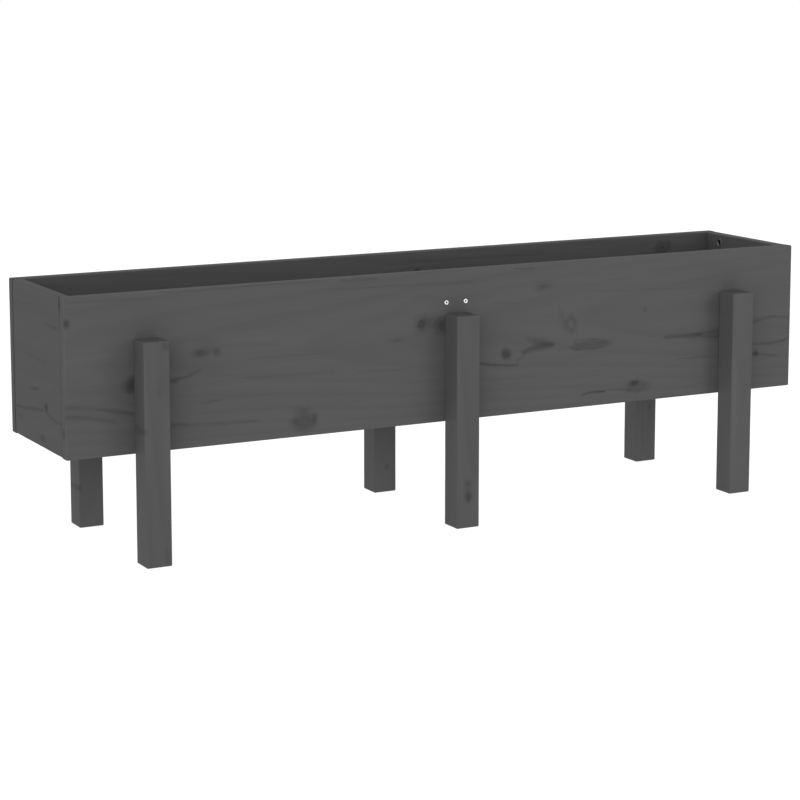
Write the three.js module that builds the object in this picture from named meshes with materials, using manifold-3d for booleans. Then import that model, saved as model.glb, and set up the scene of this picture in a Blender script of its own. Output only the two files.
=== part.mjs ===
// A raised planter on legs: a long pine trough carried by six square legs.
//
// Millimetres, +Z up. X runs along the trough, the front faces -Y, and the
// origin is the point on the ground under the middle of the trough.
//
// Two long boards run the full length and clasp the two end boards between
// them. Cam fittings draw each corner together. A ledger low on each long
// board carries the base slats, with drainage gaps between them, and a flat
// tie under the rim stops the long boards from bowing outward.
// Each leg stands against the outside of a long board and is screwed on
// from inside the trough.

import * as THREE from 'three';
import { mergeVertices } from 'three/addons/utils/BufferGeometryUtils.js';
import Module from 'manifold-3d';

const wasm = await Module();
wasm.setup();

// ---------------------------------------------------------------- sizes

// Trough
const LENGTH = 1210;
const BOX_DEPTH = 225.6;
const BOX_TOP = 378.4;
const BOARD_HEIGHT = 224;
const BOARD_THICKNESS = 16;
const END_BOARD_HEIGHT = 222.5;
const END_BOARD_DROP = 0.4;

// Legs
const LEG_SECTION = 37.7;
const LEG_HEIGHT = 315;
const LEG_SPACING = 486.3;

// Base
const LEDGER_SECTION = 20;
const LEDGER_BOTTOM = 158;
const SLAT_COUNT = 10;
const SLAT_WIDTH = 108;
const SLAT_THICKNESS = 15;
const DRAIN_GAP = 9.6;
const SLAT_END_GAP = 0.6;

// Tie across the trough
const TIE_WIDTH = 60;
const TIE_THICKNESS = 16;
const TIE_HEIGHT = 331;
const TIE_SCREW_SPACING = 32;

// Heights of the two screws that hold each leg
const LEG_SCREW_HEIGHTS = { lower: 215, upper: 290 };

// Gap left between two pieces that bear on each other
const FIT_GAP = 0.25;
// Gap left all round a fastener in its hole
const HOLE_GAP = 0.3;

// Countersunk wood screws: the head is flush and its socket is a hexagon
const TIE_SCREW = {
  length: 50,
  shankRadius: 1.75,
  headRadius: 3.3,
  headDepth: 2.1,
  pointLength: 4,
  socketRadius: 1.5,
  socketDepth: 1.8,
};
const LEG_SCREW = {
  length: 45,
  shankRadius: 2.25,
  headRadius: 4.6,
  headDepth: 2.8,
  pointLength: 4.5,
  socketRadius: 1.9,
  socketDepth: 2,
};

// Cam fittings: a disc in the end board pulls on a bolt from the long board
const CAM_RADIUS = 7.5;
const CAM_THICKNESS = 12.4;
const CAM_SETBACK = 34;
const CAM_EDGE_DISTANCE = 14;
const CAM_SLOT_LENGTH = 9;
const CAM_SLOT_WIDTH = 1.8;
const CAM_SLOT_DEPTH = 1.8;
const CAM_MOUTH_RADIUS = 3.5;
const CAM_MOUTH_PAST_CENTRE = 2;
const BOLT_THREAD_RADIUS = 3.2;
const BOLT_THREAD_LENGTH = 10.5;
const BOLT_COLLAR_RADIUS = 3.6;
const BOLT_COLLAR_LENGTH = 2;
const BOLT_NECK_RADIUS = 2.4;
const BOLT_HEAD_RADIUS = 3.1;
const BOLT_HEAD_LENGTH = 4.5;
const BOLT_PAST_CENTRE = 1.5;
const BOLT_CHAMFER = 1;

// Details that every screw shares
const SCREW_TIP_SHARE = 0.3;
const SCREW_RIM = 0.3;
const SOCKET_SIDES = 6;

// Facets round each turned piece, and round the broader cam discs
const SIDES = 12;
const CAM_SIDES = 24;

// How far a cutter runs out past the face that it opens
const CUT_MARGIN = 2;

// Corners closer together than this are one corner
const MERGE_DISTANCE = 1e-4;

// ------------------------------------------------------- derived places

const BOARD_BOTTOM = BOX_TOP - BOARD_HEIGHT;
const OUTER_FACE = BOX_DEPTH / 2;
const INNER_FACE = OUTER_FACE - BOARD_THICKNESS;
const END_INNER_FACE = LENGTH / 2 - BOARD_THICKNESS;
const END_BOARD_TOP = BOX_TOP - END_BOARD_DROP;
const END_BOARD_BOTTOM = END_BOARD_TOP - END_BOARD_HEIGHT;
const END_BOARD_EDGE = INNER_FACE - FIT_GAP;
const CAM_X = LENGTH / 2 - BOARD_THICKNESS / 2;
const CAM_Y = END_BOARD_EDGE - CAM_SETBACK;
const CAM_HEIGHTS = {
  lower: END_BOARD_BOTTOM + CAM_EDGE_DISTANCE,
  upper: END_BOARD_TOP - CAM_EDGE_DISTANCE,
};
const SLAT_BOTTOM = LEDGER_BOTTOM + LEDGER_SECTION + FIT_GAP;

const SIDE_OF = { front: -1, back: 1 };
const END_OF = { left: -1, right: 1 };
const LEG_X = { left: -LEG_SPACING, middle: 0, right: LEG_SPACING };
const TIE_SCREW_X = { left: -TIE_SCREW_SPACING / 2, right: TIE_SCREW_SPACING / 2 };

// ------------------------------------------------------------ materials

const FINISHES = {
  pine: { color: 0x575757, roughness: 0.75, metalness: 0 },
  slatPine: { color: 0x5b5b5b, roughness: 0.8, metalness: 0 },
  zincScrew: { color: 0xb9bbbd, roughness: 0.35, metalness: 1 },
  zincCam: { color: 0xa9abad, roughness: 0.45, metalness: 1 },
};

// ------------------------------------------------------------- booleans

// A closed geometry as a solid that can be cut and joined.
function toSolid(geometry) {
  const bare = geometry.clone();
  bare.deleteAttribute('normal');
  bare.deleteAttribute('uv');
  const merged = mergeVertices(bare, MERGE_DISTANCE);
  const index = merged.index.array;
  const triangles = [];
  for (let i = 0; i < index.length; i += 3) {
    const [a, b, c] = [index[i], index[i + 1], index[i + 2]];
    if (a !== b && b !== c && c !== a) {
      triangles.push(a, b, c);
    }
  }
  return new wasm.Manifold(new wasm.Mesh({
    numProp: 3,
    vertProperties: new Float32Array(merged.attributes.position.array),
    triVerts: new Uint32Array(triangles),
  }));
}

// A solid back as a geometry that a mesh can show.
function toGeometry(solid) {
  const mesh = solid.getMesh();
  const geometry = new THREE.BufferGeometry();
  geometry.setAttribute('position', new THREE.BufferAttribute(mesh.vertProperties, 3));
  geometry.setIndex(new THREE.BufferAttribute(mesh.triVerts, 1));
  geometry.computeVertexNormals();
  return geometry;
}

// A geometry with every cutter taken out of it.
function cut(geometry, cutters) {
  let solid = toSolid(geometry);
  for (const cutter of cutters) {
    solid = solid.subtract(toSolid(cutter));
  }
  return toGeometry(solid);
}

// --------------------------------------------------------------- shapes

// A plank given by its size and the place of its middle.
function plank(size, middle) {
  const geometry = new THREE.BoxGeometry(size[0], size[1], size[2]);
  return geometry.translate(middle[0], middle[1], middle[2]);
}

// A turned shape from (radius, distance) points, laid along Y: it starts at
// "from" and grows towards "direction", which is -1 or +1.
function turnedAlongY(points, from, direction) {
  const profile = points.map(([radius, distance]) => new THREE.Vector2(radius, distance));
  const geometry = new THREE.LatheGeometry(profile, SIDES);
  if (direction < 0) {
    geometry.rotateX(Math.PI);
  }
  return geometry.translate(from[0], from[1], from[2]);
}

// The outline of a screw from its point to the top of its head. "gap" fattens
// it, and "overrun" carries its head past the face, to make a hole's cutter.
function screwOutline(screw, gap, overrun) {
  const shank = screw.shankRadius + gap;
  const head = screw.headRadius + gap;
  return [
    [0, -gap],
    [shank * SCREW_TIP_SHARE, -gap],
    [shank, screw.pointLength],
    [shank, screw.length - screw.headDepth],
    [head, screw.length - SCREW_RIM],
    [head, screw.length + overrun],
    [0, screw.length + overrun],
  ];
}

// A screw lying along Y. "head" is the middle of the top of its head, and it
// points towards "direction".
function screwShape(screw, head, direction) {
  const point = [head[0], head[1] + direction * screw.length, head[2]];
  const body = turnedAlongY(screwOutline(screw, 0, 0), point, -direction);
  const socket = new THREE.CylinderGeometry(
    screw.socketRadius,
    screw.socketRadius,
    screw.socketDepth * 2,
    SOCKET_SIDES,
  );
  socket.translate(head[0], head[1], head[2]);
  return cut(body, [socket]);
}

// The cutter for that screw's hole.
function screwHole(screw, head, direction) {
  const point = [head[0], head[1] + direction * screw.length, head[2]];
  return turnedAlongY(screwOutline(screw, HOLE_GAP, CUT_MARGIN), point, -direction);
}

// A plain round hole along Y between two distances from the middle.
function roundHoleAlongY(radius, x, yStart, yEnd, z) {
  const hole = new THREE.CylinderGeometry(radius, radius, Math.abs(yEnd - yStart), SIDES);
  return hole.translate(x, (yStart + yEnd) / 2, z);
}

// ------------------------------------------------- where fasteners stand

// Tie screws go in from outside, through a long board into the tie's end.
function tieScrewPlace(side, x) {
  return { head: [x, SIDE_OF[side] * OUTER_FACE, TIE_HEIGHT], direction: -SIDE_OF[side] };
}

// Leg screws go in from inside the trough, through a long board into a leg.
function legScrewPlace(side, x, z) {
  return { head: [x, SIDE_OF[side] * INNER_FACE, z], direction: SIDE_OF[side] };
}

// --------------------------------------------------------------- pieces

function longBoard(side) {
  const middleY = SIDE_OF[side] * (OUTER_FACE - BOARD_THICKNESS / 2);
  const board = plank(
    [LENGTH, BOARD_THICKNESS, BOARD_HEIGHT],
    [0, middleY, BOARD_BOTTOM + BOARD_HEIGHT / 2],
  );
  const cutters = [];
  for (const x of Object.values(TIE_SCREW_X)) {
    const { head, direction } = tieScrewPlace(side, x);
    cutters.push(screwHole(TIE_SCREW, head, direction));
  }
  for (const x of Object.values(LEG_X)) {
    for (const z of Object.values(LEG_SCREW_HEIGHTS)) {
      const { head, direction } = legScrewPlace(side, x, z);
      cutters.push(screwHole(LEG_SCREW, head, direction));
    }
  }
  for (const end of Object.values(END_OF)) {
    for (const z of Object.values(CAM_HEIGHTS)) {
      cutters.push(roundHoleAlongY(
        BOLT_THREAD_RADIUS + HOLE_GAP,
        end * CAM_X,
        SIDE_OF[side] * (INNER_FACE - CUT_MARGIN),
        SIDE_OF[side] * (INNER_FACE + BOLT_THREAD_LENGTH + HOLE_GAP),
        z,
      ));
    }
  }
  return cut(board, cutters);
}

function endBoard(end) {
  const board = plank(
    [BOARD_THICKNESS, 2 * END_BOARD_EDGE, END_BOARD_HEIGHT],
    [END_OF[end] * CAM_X, 0, END_BOARD_BOTTOM + END_BOARD_HEIGHT / 2],
  );
  const boreDepth = CAM_THICKNESS + HOLE_GAP + CUT_MARGIN;
  const cutters = [];
  for (const side of Object.values(SIDE_OF)) {
    for (const z of Object.values(CAM_HEIGHTS)) {
      const boreRadius = CAM_RADIUS + HOLE_GAP;
      const bore = new THREE.CylinderGeometry(boreRadius, boreRadius, boreDepth, CAM_SIDES);
      bore.rotateZ(Math.PI / 2);
      bore.translate(
        END_OF[end] * (END_INNER_FACE - CUT_MARGIN + boreDepth / 2),
        side * CAM_Y,
        z,
      );
      cutters.push(bore);
      cutters.push(roundHoleAlongY(
        BOLT_COLLAR_RADIUS + HOLE_GAP,
        END_OF[end] * CAM_X,
        side * (END_BOARD_EDGE + CUT_MARGIN),
        side * CAM_Y,
        z,
      ));
    }
  }
  return cut(board, cutters);
}

function camDisc(end, side, z) {
  const disc = new THREE.CylinderGeometry(CAM_RADIUS, CAM_RADIUS, CAM_THICKNESS, CAM_SIDES);
  disc.rotateZ(Math.PI / 2);
  const discX = END_OF[end] * (END_INNER_FACE + CAM_THICKNESS / 2);
  const discY = SIDE_OF[side] * CAM_Y;
  disc.translate(discX, discY, z);
  const mouth = roundHoleAlongY(
    CAM_MOUTH_RADIUS,
    END_OF[end] * CAM_X,
    SIDE_OF[side] * (CAM_Y - CAM_MOUTH_PAST_CENTRE),
    SIDE_OF[side] * (CAM_Y + CAM_RADIUS + CUT_MARGIN),
    z,
  );
  const slotMiddle = [END_OF[end] * END_INNER_FACE, discY, z];
  const levelSlot = plank([2 * CAM_SLOT_DEPTH, CAM_SLOT_LENGTH, CAM_SLOT_WIDTH], slotMiddle);
  const uprightSlot = plank([2 * CAM_SLOT_DEPTH, CAM_SLOT_WIDTH, CAM_SLOT_LENGTH], slotMiddle);
  return cut(disc, [mouth, levelSlot, uprightSlot]);
}

// The bolt screws into the long board and ends in a head inside the disc.
function camBolt(end, side, z) {
  const collarStart = BOLT_THREAD_LENGTH + FIT_GAP;
  const collarEnd = collarStart + BOLT_COLLAR_LENGTH;
  const boltEnd = BOLT_THREAD_LENGTH + FIT_GAP + CAM_SETBACK + BOLT_PAST_CENTRE;
  const headStart = boltEnd - BOLT_HEAD_LENGTH;
  const outline = [
    [0, 0],
    [BOLT_THREAD_RADIUS - BOLT_CHAMFER, 0],
    [BOLT_THREAD_RADIUS, BOLT_CHAMFER],
    [BOLT_THREAD_RADIUS, collarStart],
    [BOLT_COLLAR_RADIUS, collarStart],
    [BOLT_COLLAR_RADIUS, collarEnd],
    [BOLT_NECK_RADIUS, collarEnd + BOLT_CHAMFER],
    [BOLT_NECK_RADIUS, headStart],
    [BOLT_HEAD_RADIUS, headStart + BOLT_CHAMFER],
    [BOLT_HEAD_RADIUS, boltEnd],
    [0, boltEnd],
  ];
  const start = [
    END_OF[end] * CAM_X,
    SIDE_OF[side] * (INNER_FACE + BOLT_THREAD_LENGTH),
    z,
  ];
  return turnedAlongY(outline, start, -SIDE_OF[side]);
}

function leg(side, place) {
  const middleY = SIDE_OF[side] * (OUTER_FACE + FIT_GAP + LEG_SECTION / 2);
  const post = plank(
    [LEG_SECTION, LEG_SECTION, LEG_HEIGHT],
    [LEG_X[place], middleY, LEG_HEIGHT / 2],
  );
  const cutters = Object.values(LEG_SCREW_HEIGHTS).map((z) => {
    const { head, direction } = legScrewPlace(side, LEG_X[place], z);
    return screwHole(LEG_SCREW, head, direction);
  });
  return cut(post, cutters);
}

function ledger(side) {
  return plank(
    [2 * (END_INNER_FACE - FIT_GAP), LEDGER_SECTION, LEDGER_SECTION],
    [
      0,
      SIDE_OF[side] * (INNER_FACE - FIT_GAP - LEDGER_SECTION / 2),
      LEDGER_BOTTOM + LEDGER_SECTION / 2,
    ],
  );
}

function baseSlat(number) {
  const pitch = SLAT_WIDTH + DRAIN_GAP;
  const x = (number - (SLAT_COUNT + 1) / 2) * pitch;
  return plank(
    [SLAT_WIDTH, 2 * (INNER_FACE - SLAT_END_GAP), SLAT_THICKNESS],
    [x, 0, SLAT_BOTTOM + SLAT_THICKNESS / 2],
  );
}

function crossTie() {
  const batten = plank(
    [TIE_WIDTH, 2 * (INNER_FACE - FIT_GAP), TIE_THICKNESS],
    [0, 0, TIE_HEIGHT],
  );
  const cutters = [];
  for (const side of Object.keys(SIDE_OF)) {
    for (const x of Object.values(TIE_SCREW_X)) {
      const { head, direction } = tieScrewPlace(side, x);
      cutters.push(screwHole(TIE_SCREW, head, direction));
    }
  }
  return cut(batten, cutters);
}

// ------------------------------------------------------------- assembly

const planter = new THREE.Group();

function add(name, geometry, finish) {
  const mesh = new THREE.Mesh(geometry, new THREE.MeshStandardMaterial(FINISHES[finish]));
  mesh.name = name;
  planter.add(mesh);
}

for (const side of Object.keys(SIDE_OF)) {
  add(`${side}_board`, longBoard(side), 'pine');
  add(`${side}_ledger`, ledger(side), 'slatPine');

  for (const [place, x] of Object.entries(LEG_X)) {
    add(`${side}_${place}_leg`, leg(side, place), 'pine');
    for (const [level, z] of Object.entries(LEG_SCREW_HEIGHTS)) {
      const { head, direction } = legScrewPlace(side, x, z);
      const name = `${side}_${place}_leg_screw_${level}`;
      add(name, screwShape(LEG_SCREW, head, direction), 'zincScrew');
    }
  }

  for (const [place, x] of Object.entries(TIE_SCREW_X)) {
    const { head, direction } = tieScrewPlace(side, x);
    add(`${side}_${place}_tie_screw`, screwShape(TIE_SCREW, head, direction), 'zincScrew');
  }
}

for (const end of Object.keys(END_OF)) {
  add(`${end}_end_board`, endBoard(end), 'pine');
  for (const side of Object.keys(SIDE_OF)) {
    for (const [level, z] of Object.entries(CAM_HEIGHTS)) {
      add(`${end}_${side}_cam_${level}`, camDisc(end, side, z), 'zincCam');
      add(`${end}_${side}_cam_bolt_${level}`, camBolt(end, side, z), 'zincCam');
    }
  }
}

add('cross_tie', crossTie(), 'slatPine');

for (let number = 1; number <= SLAT_COUNT; number += 1) {
  add(`base_slat_${String(number).padStart(2, '0')}`, baseSlat(number), 'slatPine');
}

export default planter;
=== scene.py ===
# %% [markdown]
# # A raised planter on legs
# The real planter is a long pine trough, stained dark grey, that stands on six
# square legs. Two long boards clasp two end boards, the legs are screwed to the
# outside, and loose slats on two ledgers make the floor of the trough.
#
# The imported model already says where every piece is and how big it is. This
# lesson gives each piece its finished shape and surface: eased edges, drilled
# holes, grain that runs the right way, knots, end grain and zinc fittings.

# %% Load the frame
import functools
import math
import random
from collections import namedtuple

import bmesh
import bpy
import numpy as np
from mathutils import Euler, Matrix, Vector


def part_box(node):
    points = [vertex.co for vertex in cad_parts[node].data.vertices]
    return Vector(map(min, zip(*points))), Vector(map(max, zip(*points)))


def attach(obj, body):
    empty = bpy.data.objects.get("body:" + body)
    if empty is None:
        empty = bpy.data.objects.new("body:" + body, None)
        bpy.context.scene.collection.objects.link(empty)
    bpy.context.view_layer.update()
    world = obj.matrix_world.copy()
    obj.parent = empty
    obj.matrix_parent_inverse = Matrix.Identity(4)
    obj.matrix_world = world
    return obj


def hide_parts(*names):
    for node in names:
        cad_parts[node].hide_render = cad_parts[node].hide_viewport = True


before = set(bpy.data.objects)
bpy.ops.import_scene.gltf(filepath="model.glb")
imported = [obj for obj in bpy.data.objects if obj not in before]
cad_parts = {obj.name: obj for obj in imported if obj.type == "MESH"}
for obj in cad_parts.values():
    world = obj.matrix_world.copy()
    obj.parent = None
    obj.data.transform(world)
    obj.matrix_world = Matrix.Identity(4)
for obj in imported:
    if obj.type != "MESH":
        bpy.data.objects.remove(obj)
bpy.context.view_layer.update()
MM = 0.001

# %% [markdown]
# ## Small helpers
# Stain and metal colours are easiest to note as sRGB hex values, but a shader
# works in linear light, so one function turns the one into the other.
#
# Node trees are long, so one function adds a node, sets its properties and fills
# its inputs, in their own order or by name. A value may be a number, a socket,
# or another node, whose first output is then linked. A range node's inputs are
# the value, the low and high ends it comes from, and the two that it goes to.

# %% Colour and node helpers
def linear(hex_colour):
    """The linear red, green and blue of an sRGB hex colour."""
    channels = [int(hex_colour[i:i + 2], 16) / 255 for i in (1, 3, 5)]
    return [c / 12.92 if c <= 0.04045 else ((c + 0.055) / 1.055) ** 2.4 for c in channels]


def fill(node, *inputs):
    """Fills a node's inputs, in their own order or by name from one dict."""
    named = inputs[0] if inputs and isinstance(inputs[0], dict) else dict(enumerate(inputs))
    for name, value in named.items():
        if isinstance(value, bpy.types.Node):
            value = value.outputs[0]
        if isinstance(value, bpy.types.NodeSocket):
            node.id_data.links.new(value, node.inputs[name])
        else:
            node.inputs[name].default_value = value


def add_node(tree, kind, *inputs, **settings):
    """Adds a node with its settings and fills its inputs. A maths node's operation comes first."""
    node = tree.nodes.new(kind)
    if inputs and isinstance(inputs[0], str):
        node.operation, *inputs = inputs
    for name, value in settings.items():
        setattr(node, name, value)
    fill(node, *inputs)
    return node


def new_group(name, inputs, outputs, kind="ShaderNodeTree"):
    """An empty node group, from {socket type: names}. Gives its tree, its own add_node and its inputs."""
    tree = bpy.data.node_groups.new(name, kind)
    for in_out, sockets in (("INPUT", inputs), ("OUTPUT", outputs)):
        for socket, labels in sockets.items():
            for label in labels:
                tree.interface.new_socket(label, in_out=in_out, socket_type=socket)
    add = functools.partial(add_node, tree)
    return tree, add, add("NodeGroupInput").outputs


def new_finish(name):
    """A new material. Gives it, its own add_node and its surface."""
    material = bpy.data.materials.new(name)
    material.use_nodes = True
    tree = material.node_tree
    return material, functools.partial(add_node, tree), tree.nodes["Principled BSDF"]


FLOAT, VECTOR, INTEGER = "NodeSocketFloat", "NodeSocketVector", "NodeSocketInt"
GEOMETRY, MATERIAL = "NodeSocketGeometry", "NodeSocketMaterial"
MATH, VECTOR_MATH, RANGE = "ShaderNodeMath", "ShaderNodeVectorMath", "ShaderNodeMapRange"
SPLIT, COMBINE = "ShaderNodeSeparateXYZ", "ShaderNodeCombineXYZ"
NOISE, ATTRIBUTE, GROUP = "ShaderNodeTexNoise", "ShaderNodeAttribute", "ShaderNodeGroup"
SMOOTH = {"interpolation_type": "SMOOTHSTEP"}
MOST_OF_NOISE = (0.25, 0.75)
print("mid grey is", round(linear("#808080")[0], 4), "in linear light")

# %% [markdown]
# ## The camera
# The planter is seen from the front left and a little above, through a long
# lens, so its far end is only slightly smaller than its near end. The camera
# looks down a few degrees, and a small lens shift keeps the legs more upright.

# %% Camera
LENS_MM = 108.456
SENSOR_MM = 36
CAMERA_PLACE = Vector((-1697.3, -3157.6, 856.3)) * MM
HEADING = math.radians(27.785)
PITCH = math.radians(8.626)
LENS_SHIFT = -0.12


def new_object(name, data):
    """A new object in the scene."""
    thing = bpy.data.objects.new(name, data)
    bpy.context.collection.objects.link(thing)
    return thing


camera_data = bpy.data.cameras.new("camera")
camera_data.lens = LENS_MM
camera_data.sensor_width = SENSOR_MM
camera_data.shift_y = LENS_SHIFT
camera = new_object("camera", camera_data)
camera.location = CAMERA_PLACE
camera.rotation_euler = (math.radians(90) - PITCH, 0, -HEADING)
bpy.context.scene.camera = camera
print("camera", round(CAMERA_PLACE.length, 2), "m from the foot of the planter")

# %% [markdown]
# ## The light
# Garden furniture is often lit in a white tent: light comes from all round, the
# background burns out to white, and shading is left only where pieces stand
# close together. The floor is a sheet of white acrylic with lamps under it,
# which is how a studio keeps a floor white under a dark object.
#
# A tent alone makes inside corners too black. So a wide key lamp stands high to
# the front left, for the left and front faces and the inside of the far wall. A
# small lamp near the floor on the left reaches under the trough to the back
# legs, and a weak lamp near the right end makes that end a shade brighter.

# %% Light tent and floor
TENT_STRENGTH = 1.0
FLOOR_GLOW = 0.95
FLOOR_PALE = linear("#6e6e6e")
FLOOR_HALF_WIDTH = 9.0
FLOOR_DROP = 0.4 * MM

scene = bpy.context.scene
scene.view_settings.view_transform = "Standard"
scene.world = bpy.data.worlds.new("light_tent")
scene.world.use_nodes = True
fill(scene.world.node_tree.nodes["Background"], {"Color": (1, 1, 1, 1), "Strength": TENT_STRENGTH})

floor_mesh = bpy.data.meshes.new("floor")
corners = [
    (x * FLOOR_HALF_WIDTH, y * FLOOR_HALF_WIDTH, -FLOOR_DROP)
    for x, y in ((-1, -1), (1, -1), (1, 1), (-1, 1))
]
floor_mesh.from_pydata(corners, [], [(0, 1, 2, 3)])
new_object("floor", floor_mesh)

acrylic, _, surface = new_finish("lit_white_acrylic")
fill(surface, {
    "Base Color": (*FLOOR_PALE, 1), "Roughness": 0.9, "Specular IOR Level": 0.0,
    "Emission Color": (1, 1, 1, 1), "Emission Strength": FLOOR_GLOW,
})
floor_mesh.materials.append(acrylic)
print("tent", TENT_STRENGTH, "floor glow", FLOOR_GLOW)

# %% Broad lamps
def broad_lamp(name, place, aim, width, watts):
    """A square soft lamp that faces a point."""
    data = bpy.data.lights.new(name, "AREA")
    data.size = width
    data.energy = watts
    way = Vector(aim) - Vector(place)
    lamp = new_object(name, data)
    lamp.location = place
    lamp.rotation_euler = way.to_track_quat("-Z", "Y").to_euler()
    print(name, watts, "W,", round(way.length, 1), "m away")


broad_lamp("key_lamp", (-5.2, -5.9, 3.3), (0, 0, 0.25), 4.5, 203)
broad_lamp("low_left_lamp", (-4.5, -1.8, 0.32), (0, 0, 0.15), 0.6, 14)
broad_lamp("right_fill_lamp", (1.9, -2.4, 0.5), (0.3, 0, 0.2), 1.0, 15)

# %% [markdown]
# ## Sawn and planed timber
# Every board, leg, slat and batten is the same thing at another size: a bar of
# pine whose four long edges were eased by the planer and whose ends were cut
# square and lightly sanded. A shape with a rule like that suits Geometry Nodes.
#
# The tree starts from a unit cube with rows of points. A small group slides the
# rows to where they are needed: a few rows within the rounded edge, the others
# spread evenly between. Then each point is pulled in to a slightly smaller core
# and pushed out again by the edge radius, which rounds every edge and corner.
# Noise makes the push a little shorter along the edges, as handling does.

# %% Geometry Nodes: rows of points along one side
EDGE_ROWS = 3

rows_tree, add, given = new_group(
    "rows_along_a_side", {FLOAT: ("Share", "Rows", "Size", "Edge radius")}, {FLOAT: ("Place",)},
    "GeometryNodeTree",
)
last = add(MATH, "SUBTRACT", given["Rows"], 1.0)
exact = add(MATH, "MULTIPLY", given["Share"], last)
row = add(MATH, "ROUND", exact)
from_far = add(MATH, "SUBTRACT", last, row)
nearest = add(MATH, "MINIMUM", row, from_far)
past_middle = add(MATH, "GREATER_THAN", row, from_far)
side = add(MATH, "MULTIPLY_ADD", past_middle, 2.0, -1.0)
half_size = add(MATH, "MULTIPLY", given["Size"], 0.5)
angle = add(RANGE, nearest, 0.0, EDGE_ROWS, math.radians(45), 0.0)
slope = add(MATH, "TANGENT", angle)
beyond = add(MATH, "MULTIPLY", slope, given["Edge radius"])
half_rows = add(MATH, "MULTIPLY", last, 0.5)
inward = add(RANGE, nearest, EDGE_ROWS, half_rows, 0.0, 1.0)
core = add(MATH, "SUBTRACT", half_size, given["Edge radius"])
inner_step = add(MATH, "MULTIPLY", core, inward)
reach = add(MATH, "SUBTRACT", core, inner_step)
distance = add(MATH, "ADD", reach, beyond)
place = add(MATH, "MULTIPLY", distance, side)
add("NodeGroupOutput", {"Place": place})
print("rows within each rounded edge:", EDGE_ROWS)

# %% Geometry Nodes: a bar of timber with eased edges
DENTS_PER_METRE = 38.0

timber_tree, add, given = new_group(
    "eased_timber",
    {
        GEOMETRY: ("Geometry",), VECTOR: ("Size", "Middle"), INTEGER: ("Rows X", "Rows Y", "Rows Z"),
        FLOAT: ("Edge radius", "Edge wear", "Seed"), MATERIAL: ("Finish",),
    },
    {GEOMETRY: ("Geometry",)}, "GeometryNodeTree",
)
radius = given["Edge radius"]
vertices = {f"Vertices {axis}": given[f"Rows {axis}"] for axis in "XYZ"}
block = add("GeometryNodeMeshCube", {"Size": (1, 1, 1), **vertices})
unit = add(SPLIT, add("GeometryNodeInputPosition")).outputs
size = add(SPLIT, given["Size"]).outputs
slid = {}
for axis in "XYZ":
    share = add(MATH, "ADD", unit[axis], 0.5)
    row_inputs = {"Share": share, "Rows": given[f"Rows {axis}"], "Size": size[axis], "Edge radius": radius}
    slid[axis] = add("GeometryNodeGroup", row_inputs, node_tree=rows_tree)
spread = add(COMBINE, slid)
half = add(VECTOR_MATH, "SCALE", {0: given["Size"], "Scale": 0.5})
radii = add(COMBINE, radius, radius, radius)
core_top = add(VECTOR_MATH, "SUBTRACT", half, radii)
core_base = add(VECTOR_MATH, "SCALE", {0: core_top, "Scale": -1.0})
kept_low = add(VECTOR_MATH, "MAXIMUM", spread, core_base)
core_point = add(VECTOR_MATH, "MINIMUM", kept_low, core_top)
outward = add(VECTOR_MATH, "SUBTRACT", spread, core_point)
heading = add(VECTOR_MATH, "NORMALIZE", outward)
parts = add(SPLIT, heading).outputs
turned_on = add(COMBINE, parts["Y"], parts["Z"], parts["X"])
products = add(VECTOR_MATH, "MULTIPLY", heading, turned_on)
edge_share = add(VECTOR_MATH, "LENGTH", products).outputs["Value"]
dent_inputs = {"Vector": spread, "W": given["Seed"], "Scale": DENTS_PER_METRE, "Detail": 3.0}
dents = add(NOISE, dent_inputs, noise_dimensions="4D")
deep = add(MATH, "POWER", dents, 2.0)
worn = add(MATH, "MULTIPLY", deep, given["Edge wear"])
worn_edge = add(MATH, "MULTIPLY", worn, edge_share)
kept = add(MATH, "SUBTRACT", 1.0, worn_edge)
push = add(MATH, "MULTIPLY", kept, radius)
pushed = add(VECTOR_MATH, "SCALE", {0: heading, "Scale": push})
rounded = add(VECTOR_MATH, "ADD", core_point, pushed)
placed = add(VECTOR_MATH, "ADD", rounded, given["Middle"])
shaped = add("GeometryNodeSetPosition", {"Geometry": block, "Position": placed})
whole = add("GeometryNodeRealizeInstances", {"Geometry": shaped})
finished = add("GeometryNodeSetMaterial", {"Geometry": whole, "Material": given["Finish"]})
add("NodeGroupOutput", {"Geometry": finished})
print("timber tree has", len(timber_tree.nodes), "nodes")

# %% [markdown]
# ## From a tree to a plain mesh
# A modifier's inputs are set by the identifier of each socket. Once the tree
# has made its shape, the shape is kept as a plain mesh and the modifier goes.

# %% Run a tree and keep its mesh
def keep_mesh(piece):
    """Turns what a piece's modifiers make into its own plain mesh, and drops them."""
    graph = bpy.context.evaluated_depsgraph_get()
    mesh = bpy.data.meshes.new_from_object(piece.evaluated_get(graph))
    mesh.name = piece.name
    old = piece.data
    piece.modifiers.clear()
    piece.data = mesh
    bpy.data.meshes.remove(old)


def grow(name, tree, start_mesh, values):
    """An object that holds what a Geometry Nodes tree makes, from {input name: value}."""
    piece = new_object(name, start_mesh)
    modifier = piece.modifiers.new(tree.name, "NODES")
    modifier.node_group = tree
    for item in tree.interface.items_tree:
        if item.item_type == "SOCKET" and item.in_out == "INPUT" and item.name in values:
            modifier[item.identifier] = values[item.name]
    keep_mesh(piece)
    return piece


print("trees ready:", [tree.name for tree in bpy.data.node_groups])
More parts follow.
